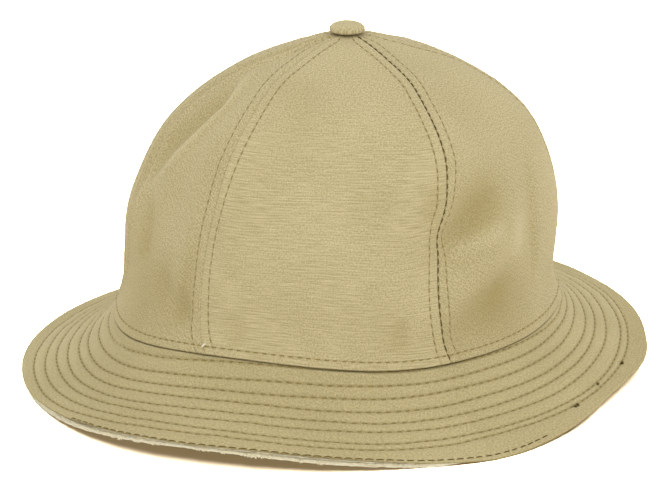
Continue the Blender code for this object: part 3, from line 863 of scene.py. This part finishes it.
def brimRelief(angle, reach, distance, point, seam, detail, side):
    # height of the brim's cloth: grooves at the sewn rows, soft swells between them, a rolled rim
    groove = rolledEdge(distance + reach, detail["rimRadius"])
    centres = np.array([rowDistance(row, angle) for row in range(len(brimRows))])
    for row in range(len(brimRows)):
        groove = groove - detail["rowDepth"] * bell((distance - centres[row]) / detail["rowWidth"])
    relief = groove
    for row in range(len(brimRows) - 1):
        share = (distance - centres[row]) / (centres[row + 1] - centres[row])
        inside = (share > 0.0) & (share < 1.0)
        relief = relief + np.where(inside, detail["swell"] * np.sin(math.pi * np.clip(share, 0.0, 1.0)) ** 2, 0.0)
    if side == 1.0:
        # the brim rises against the hem of the crown, which leaves only a narrow slit
        beside = (seam - distance) / mm
        start, rise, end, fall = detail["lip"]
        relief = relief + (detail["lipRise"] * easeIn((beside - start) / rise)
                           * (1.0 - easeIn((beside - end) / fall)))
    outside = 1.0 - easeIn((distance - seam) / detail["seamEdge"])
    sewn = easeIn(distance / detail["sewnFrom"]) * outside
    turned = np.stack([noiseRadius * np.cos(angle), noiseRadius * np.sin(angle), distance * 0.6], axis=-1)
    relief = relief + side * detail["pucker"] * sewn * drift(turned, detail["puckerSize"], 2)
    relief = relief + side * detail["ripple"] * detail["pucker"] * sewn * drift(turned, detail["rippleSize"], 4)
    return relief + side * detail["wave"] * outside * drift(point, detail["waveSize"], 6), groove


brimAngles = np.linspace(0.0, tau, brimDetail["columns"] + 1)
brimLengths = brimTable(brimAngles)


def brimGrid(detail, reach, turnIn, depth, side):
    # the points of one layer of the brim, by its depth under the outer line, with its relief and grooves
    seam = brimLengths["seam"]
    distance = brimRings(brimAngles, reach, seam, turnIn, detail)
    angle = brimAngles[None, :] + 0.0 * distance
    point, normal = faceAndNormal(angle, placeAt(brimLengths, distance))
    point = point - normal * depth
    relief, groove = brimRelief(angle % tau, reach, distance, point, seam[None, :], detail, side)
    return angle, distance, point, normal, relief, groove


# middle and half spread in degrees of the brim's sides with painted light, and the tint there of the sewn part and of
# the border: above zero painted light, below zero painted shade on the far border
brimLightAndShade = ((75.0, 60.0, 0.15, -0.10), (232.0, 34.0, 0.22, 0.0))


def makeBrim(detail):
    angle, distance, point, normal, relief, groove = brimGrid(detail, rimReach(brimAngles), hatForm["brimTurnIn"],
                                                              lap, 1.0)
    points = point + normal * (relief + rimBend(angle, distance))[..., None]
    points[:, -1] = points[:, 0]
    border = 1.0 - easeIn((distance - detail["border"][0]) / detail["border"][1])
    # painted light on the brim's far and left sides, and painted shade on the far side's plain border
    shade = sum(bellAt(angle, middle, spread) * (sewn * (1.0 - border) + plain * border)
                for middle, spread, sewn, plain in brimLightAndShade)
    bm = clothGrid(points, angle * clothRadius, distance, groove, shade, closed=True)
    piece = putPiece("brim_cloth", bm, brimCotton, node="brim_top")
    wall(piece, hatForm["cloth"])


facingDetail = dict(
    brimDetail, besideRow=(-0.9, 0.0, 0.9), besideSeam=(5.0, 4.0, 3.0, 2.0, 1.0, 0.5, 0.0), rimRadius=0.3 * mm,
    rowDepth=0.5 * mm, rowWidth=1.3 * mm, swell=0.25 * mm, thickness=2.0 * mm, lift=0.25 * mm, side=0.4,
    depth=facingDepth + hatForm["pile"], tuft=0.38 * mm, tuftSize=1.7 * mm,
    trimmed=(308.0, 50.0, 1.1 * mm), trimWidth=(2.0 * mm, 4.0 * mm),
)


def makeFacing(detail):
    # the grid is the looped underside, and the wall is added upwards
    angle, distance, point, normal, relief, _ = brimGrid(detail, rimReach(brimAngles, 2), hatForm["facingTurnIn"],
                                                         detail["depth"], detail["side"])
    rough = detail["tuft"] * drift(point, detail["tuftSize"], 8)
    middle, spread, most = detail["trimmed"]    # the pile is cut thinner along the rim that stands clear of the table
    start, width = detail["trimWidth"]
    rough -= most * bellAt(angle, middle, spread) * (1.0 - easeIn((distance - start) / width))
    rough[:, -1] = rough[:, 0]
    points = point - normal * (relief + rough - detail["lift"] - rimBend(angle, distance))[..., None]
    points[:, -1] = points[:, 0]
    points[..., 2] = np.maximum(points[..., 2], 0.0)
    bm = clothGrid(points, angle * clothRadius, distance, relief + rough, 0.0 * rough, closed=True)
    bmesh.ops.reverse_faces(bm, faces=bm.faces)
    piece = putPiece("brim_pile", bm, creamPile, node="brim_facing")
    wall(piece, detail["thickness"])


makeBrim(brimDetail)
makeFacing(facingDetail)
print("brim made")


# fringe of pile at the rim

fringeDetail = {
    "count": 1900, "length": 1.3 * mm, "radius": 0.32 * mm, "rootIn": 0.5 * mm, "lowest": 0.02 * mm,
    "middle": 315.0, "spread": 42.0, "fadeOut": 0.2,    # degrees, and the fade at both ends in radians
    "clumps": (0.6, 0.5, 61.0, 23.0),                   # least share, how much they vary, and two counts round the hat
}


def makeFringe(detail):
    # loose tufts of pile that stand out from the cut edge under the brim
    rand = np.random.default_rng(5)
    mesh, corners = threadShape(5, 1, 0.35)
    count = detail["count"]
    angles = np.radians(detail["middle"] + detail["spread"] * rand.uniform(-1.0, 1.0, count))
    depth = facingDepth + rand.uniform(0.15, 0.5, count) * hatForm["pile"]
    edge = -rimReach(angles, 2)
    point, normal = faceAndNormal(angles, edge)
    root = point - normal * (depth - rimBend(angles, edge))[:, None]
    inwards = lineFace(angles, 0.3 * mm) - lineFace(angles, 0.0)
    inwards /= np.linalg.norm(inwards, axis=-1, keepdims=True)
    aim = -inwards + normal * rand.uniform(-0.9, 0.25, count)[:, None]
    aim += np.cross(normal, inwards) * rand.uniform(-0.8, 0.8, count)[:, None]
    aim /= np.linalg.norm(aim, axis=-1, keepdims=True)
    least, vary, many, few = detail["clumps"]
    clump = least + vary * np.sin(many * angles + 2.0 * np.sin(few * angles))
    fromEnd = np.radians(detail["spread"]) - np.abs(turnBetween(angles, math.radians(detail["middle"])))
    fade = easeIn(fromEnd / detail["fadeOut"])
    length = detail["length"] * rand.uniform(0.3, 1.0, count) ** 1.3 * clump * fade
    side = np.cross(aim, normal)
    side /= np.linalg.norm(side, axis=-1, keepdims=True)
    third = np.cross(aim, side)
    radius = detail["radius"] * rand.uniform(0.6, 1.2, count)
    root = root + inwards * detail["rootIn"]
    spots = (root[:, None] + aim[:, None] * (corners[None, :, 0] * length[:, None])[..., None]
             + side[:, None] * (corners[None, :, 1] * radius[:, None])[..., None]
             + third[:, None] * (corners[None, :, 2] * radius[:, None])[..., None])
    spots[..., 2] = np.maximum(spots[..., 2], detail["lowest"])
    joinShapes("pile_fringe", mesh, spots.reshape(-1, 3), creamPile)


makeFringe(fringeDetail)
print("fringe made")


# sewing

def threadOf(pitch, fill, radius, stand, slant):
    # pitch, radius and slant in mm; fill is the share of the pitch that shows, stand how far a stitch bows up
    return {"pitch": pitch * mm, "fill": fill, "radius": radius * mm, "stand": stand, "slant": slant * mm}


brimThread = threadOf(4.1, 0.76, 0.33, 0.25, 0.15)
edgeThread = threadOf(4.1, 0.95, 0.30, 0.25, 0.10)
pileThread = threadOf(4.1, 0.66, 0.30, 0.35, 0.15)
crownThread = threadOf(3.6, 0.78, 0.31, 0.30, 0.15)
seamThread = threadOf(3.6, 0.74, 0.31, 0.35, 0.0)
knotThread = threadOf(1.5, 0.95, 0.30, 0.6, 0.0)
endThread = threadOf(2.2, 0.95, 0.42, 0.5, 0.2)

# small knots where a row was started and cut off: angle, distance from the rim and width, in degrees and mm
threadKnots = ((33.5, 9.4, 1.3), (45.0, 6.9, 1.2), (23.5, 7.2, 2.6))
knotRadius = 120.0 * mm         # the hat's radius where the knots lie
knotLift = 0.25 * mm
shortest = 20                   # a stretch of fewer places than this isn't sewn

rowAngles = np.linspace(0.0, tau, 1401)
rowLengths = brimTable(rowAngles)


def brimPath(distance, detail, depth, side):
    # a sewn row round the brim, cut into stretches where the crown covers it; side is -1 for the rows on the pile
    angle, seam = rowAngles[None, :], rowLengths["seam"]
    distance = distance[None, :]
    point, normal = faceAndNormal(angle, placeAt(rowLengths, distance))
    point = point - normal * depth
    relief, _ = brimRelief(angle, rimReach(rowAngles), distance, point, seam[None, :], detail,
                           1.0 if side > 0 else detail["side"])
    path = (point + normal * (side * relief + rimBend(angle, distance))[..., None])[0]
    path[:, 2] = np.maximum(path[:, 2], 0.3 * mm)
    shown = distance[0] < seam - 0.5 * mm
    stretches = []
    begin = None
    for k in range(len(rowAngles)):
        if shown[k] and begin is None:
            begin = k
        if begin is not None and (not shown[k] or k == len(rowAngles) - 1):
            if k - begin > shortest:
                stretches.append((path[begin:k + 1], side * normal[0, begin:k + 1]))
            begin = None
    return stretches


def knotPath(middle, distance, width):
    # a small tangle of thread that lies on the brim
    turn = np.linspace(0.0, 3.2 * math.pi, 50)
    angle = math.radians(middle) + 0.5 * width * mm * np.cos(turn) / knotRadius
    place = (distance + 0.5 * np.sin(1.5 * turn)) * mm
    point, normal = faceAndNormal(angle, place)
    return point - normal * (lap - knotLift - rimBend(angle, place))[:, None], normal


def roundRows(rows, detail, depth, side):
    return [stretch for row in range(rows)
            for stretch in brimPath(rowDistance(row, rowAngles), detail, depth, side)]


# the row at the very rim: angle, and distance from the cloth's edge in mm; it is sewn from 279 to 372 degrees
edgeRowPlaces = ((0, 2.1), (12, 2.6), (30, 2.6), (279, 0.3), (335, 0.3), (346, 0.8), (354, 1.6), (360, 2.1))
edgeRowSpans = ((1085, 1401), (0, 47))      # as places in rowAngles
edgeGap = np.interp(np.degrees(rowAngles), *zip(*edgeRowPlaces)) * mm
edgeRow = [(path[begin:end], normals[begin:end])
           for path, normals in brimPath(edgeGap - rimReach(rowAngles), brimDetail, lap, 1.0)
           for begin, end in edgeRowSpans]

sideRows = []
seamRows = []
rowStart, rowEnd = seamPlace + 4.5 * mm, topPlace - 4.5 * mm
for _, start, end, _, _ in panels:
    sideRows += [crownPath(start, end, panelDetail["seamRow"], fromFirst, rowStart, rowEnd, panelDetail)
                 for fromFirst in (True, False)]
    if seamLook[start][1]:
        path, normals = crownPath(start, end, 0.02 * mm, True, seamPlace + 1.0 * mm, rowEnd, panelDetail)
        seamRows.append((path + normals * 0.5 * mm, normals))
    sideRows.append(hemPath(start, end, panelDetail))

stitch = threadShape(6, 3)
sewPiece("brim_stitching", stitch, roundRows(len(brimRows), brimDetail, lap, 1.0), brimThread, oliveThread)
sewPiece("thread_knots", stitch, [knotPath(*knot) for knot in threadKnots], knotThread, seamCotton)
sewPiece("brim_edge_stitching", stitch, edgeRow, edgeThread, seamCotton)
sewPiece("pile_stitching", stitch,
         roundRows(len(brimRows) - 1, facingDetail, facingDetail["depth"] - facingDetail["lift"], -1.0),
         pileThread, creamThread)
sewPiece("crown_stitching", stitch, sideRows, crownThread, oliveThread)
sewPiece("seam_stitching", stitch, seamRows, seamThread, seamCotton)

# an undyed thread end that sticks out where the left seam of the picture meets the hem
endTurns, endPlaces = np.radians(np.linspace(298.2, 299.3, 8)), seamPlace + np.linspace(2.6, 4.6, 8) * mm
endPoint, endNormal = faceAndNormal(endTurns, endPlaces)
sewPiece("thread_end", stitch, [(endPoint + endNormal * 0.9 * mm, endNormal)], endThread, undyedCotton)


# button

buttonDetail = {
    "edge": 0.9 * mm, "fullness": 0.87, "domeSteps": 14, "edgeSteps": 4, "turns": 72,
    "innerRadius": 0.55, "hollow": 2.0 * mm,                    # the flat underside, and the hollow over the rivet
    "gather": 0.10 * mm, "gatherFrom": 0.55, "gathers": 19.0,   # folds where the cloth is drawn in round the edge
    # painted shade round the button's foot, where it sits on the crown
    "footShade": -0.8, "footShadeHeight": 0.5 * mm,
}


def makeButton(detail):
    # cloth stretched over a dome, gathered under its edge
    radius, height, edge = hatForm["buttonRadius"], hatForm["buttonHeight"], detail["edge"]
    profile = [(0.0, height)]
    for step in range(1, detail["domeSteps"]):
        turn = math.pi / 2.0 * step / detail["domeSteps"]
        profile.append((radius * math.sin(turn) ** detail["fullness"],
                        edge + (height - edge) * math.cos(turn) ** detail["fullness"]))
    for step in range(detail["edgeSteps"] + 1):
        turn = math.pi / 2.0 * step / detail["edgeSteps"]
        profile.append((radius - edge * (1.0 - math.cos(turn)), edge * (1.0 - math.sin(turn))))
    profile += [(detail["innerRadius"] * radius, 0.0), (holeRadius, 0.0), (holeRadius, detail["hollow"]),
                (0.0, detail["hollow"])]
    bm = bmesh.new()
    verts = [bm.verts.new((x, 0.0, z)) for x, z in profile]
    edges = [bm.edges.new(pair) for pair in zip(verts, verts[1:])]
    bmesh.ops.spin(bm, geom=verts + edges, cent=(0, 0, 0), axis=(0, 0, 1), angle=tau, steps=detail["turns"],
                   use_merge=True, use_duplicate=False)
    bmesh.ops.remove_doubles(bm, verts=bm.verts, dist=1e-6)
    bmesh.ops.recalc_face_normals(bm, faces=bm.faces)
    lowest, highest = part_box("top_button")
    middle = (lowest + highest) / 2.0
    reliefLayer = bm.verts.layers.float.new("relief")
    shadeLayer = bm.verts.layers.float.new("shade")
    uvs = bm.loops.layers.uv.new("cloth")
    for vert in bm.verts:
        angle = math.atan2(vert.co.y, vert.co.x)
        out = math.hypot(vert.co.x, vert.co.y) / radius
        gather = (detail["gather"] * max(0.0, out - detail["gatherFrom"]) * 2.0
                  * math.sin(detail["gathers"] * angle + 2.0 * math.sin(3.0 * angle)))
        if vert.co.z > 0.01 * mm and out > 0.4:
            vert.co.x += gather * math.cos(angle)
            vert.co.y += gather * math.sin(angle)
        vert[reliefLayer] = 0.0
        # painted shade on the lowest cloth of the button
        vert[shadeLayer] = detail["footShade"] if vert.co.z < detail["footShadeHeight"] else 0.0
    for face in bm.faces:
        for loop in face.loops:
            loop[uvs].uv = (loop.vert.co.x, loop.vert.co.y)
    bmesh.ops.translate(bm, verts=bm.verts, vec=(middle.x, middle.y, lowest.z))
    putPiece("button_cloth", bm, buttonCotton, node="top_button")


makeButton(buttonDetail)
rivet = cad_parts["button_post"].data
rivet.materials.clear()
rivet.materials.append(platedSteel("nickel_plated_steel"))


# camera, floor and light

# degrees and metres; focal length, width and the two aims are in the picture's pixels, the sensor in mm
viewSetup = {"azimuth": 60.0, "elevation": 18.5, "distance": 1.1, "focalPixels": 2563.0, "imageWidth": 657,
             "sensorWidth": 36.0, "aimHeight": 0.060, "aimRight": -5.3, "aimUp": -18.3}

# name, place, height that it aims at, size, power in W, colour; the last lights the floor alone
softboxes = (
    ("overheadSoftbox", (0.12, -0.30, 1.7), 0.05, 0.8, 3.0, (1.0, 0.99, 0.97)),
    ("frontSoftbox", (1.3, -0.35, 0.9), 0.06, 0.8, 3.0, (1.0, 0.99, 0.98)),
    ("sideSoftbox", (0.9, 1.2, 0.8), 0.06, 0.8, 1.3, (1.0, 1.0, 1.0)),
    ("backSoftbox", (-0.6, 0.8, 1.5), 0.06, 0.8, 1.3, (1.0, 1.0, 1.0)),
    ("floorSoftbox", (0.85, -0.45, 2.2), 0.0, 2.9, 2500.0, (1.0, 1.0, 1.0)),
)


def standAt(name, data, place, aim):
    # puts a camera or a light in the scene, turned to what it aims at
    holder = bpy.data.objects.new(name, data)
    holder.location = place
    holder.rotation_euler = (Vector(aim) - holder.location).to_track_quat("-Z", "Y").to_euler()
    bpy.context.scene.collection.objects.link(holder)
    return holder


def placeCamera(setup):
    azimuth, elevation = math.radians(setup["azimuth"]), math.radians(setup["elevation"])
    away = Vector((math.sin(azimuth) * math.cos(elevation), -math.cos(azimuth) * math.cos(elevation),
                   math.sin(elevation)))
    right = Vector((math.cos(azimuth), math.sin(azimuth), 0.0))
    up = away.cross(right)
    middle = Vector((0.0, 0.0, setup["aimHeight"]))
    perPixel = setup["distance"] / setup["focalPixels"]
    aim = middle + right * setup["aimRight"] * perPixel + up * setup["aimUp"] * perPixel
    camera = bpy.data.cameras.new("photoCamera")
    camera.sensor_width = setup["sensorWidth"]
    camera.lens = setup["focalPixels"] * setup["sensorWidth"] / setup["imageWidth"]
    camera.clip_end = 50.0
    bpy.context.scene.camera = standAt("photoCamera", camera, middle + away * setup["distance"], aim)


def areaLight(name, place, aimHeight, size, power, colour):
    light = bpy.data.lights.new(name, "AREA")
    light.shape = "DISK"
    light.size = size
    light.energy = power
    light.color = colour
    return standAt(name, light, place, (0.0, 0.0, aimHeight))


def makeFloor():
    # matt paper under one lamp that lights it alone; its tan colour and a faint warm glow near the hat are painted warm
    # light thrown into the hat's shadow, and beyond the lamp's reach it glows white by itself
    bm = bmesh.new()
    bmesh.ops.create_grid(bm, x_segments=1, y_segments=1, size=6.0)
    mesh = bpy.data.meshes.new("floor")
    bm.to_mesh(mesh)
    bm.free()
    # the tan colour reads white under the floor lamp and paints a warm tint into the hat's shadow
    finish, tree, shader = newFinish("matt_white_paper", {"Roughness": 0.9, "Base Color": (0.22, 0.18, 0.125, 1.0),
                                                          "Emission Strength": 1.0})
    ground = addNode(tree, "TexCoord", out="Object")
    reach = addNode(tree, "VectorMath", links={0: ground}, out="Value", operation="LENGTH")
    far = addNode(tree, "MapRange", {"From Min": 0.8, "From Max": 2.0}, {"Value": reach})
    # a faint warm glow near the hat, painted warm light in its shadow; far out the glow is plain white
    paper = addNode(tree, "Mix", {"A": (0.04, 0.018, 0.0, 1.0), "B": (1.0, 1.0, 1.0, 1.0)}, {"Factor": far},
                    "Result", data_type="RGBA")
    tree.links.new(paper, shader.inputs["Emission Color"])
    mesh.materials.append(finish)
    floor = bpy.data.objects.new("floor", mesh)
    bpy.context.scene.collection.objects.link(floor)
    floor.visible_diffuse = False       # the world below the horizon stands in for the light it would throw back
    return floor


def makeWorld():
    # an even white room, a little brighter below, where it stands in for the light that the floor throws back
    world = bpy.data.worlds.new("studio")
    world.use_nodes = True
    tree = world.node_tree
    heading = addNode(tree, "TexCoord", out="Generated")
    upwards = addNode(tree, "SeparateXYZ", links={"Vector": heading}, out="Z")
    above = addNode(tree, "MapRange", {"From Min": -0.1, "From Max": 0.1}, {"Value": upwards})
    glow = addNode(tree, "Mix", {"A": (1.12, 1.12, 1.10, 1.0), "B": (0.90, 0.90, 0.90, 1.0)}, {"Factor": above},
                   "Result", data_type="RGBA")
    background = tree.nodes["Background"]
    tree.links.new(glow, background.inputs["Color"])
    background.inputs["Strength"].default_value = 1.0
    bpy.context.scene.world = world


placeCamera(viewSetup)
floor = makeFloor()
lights = [areaLight(*softbox) for softbox in softboxes]
lit = bpy.data.collections.new("floorOnly")
lit.objects.link(floor)
lights[-1].light_linking.receiver_collection = lit
makeWorld()
bpy.context.scene.view_settings.view_transform = "Standard"
print("stage set")
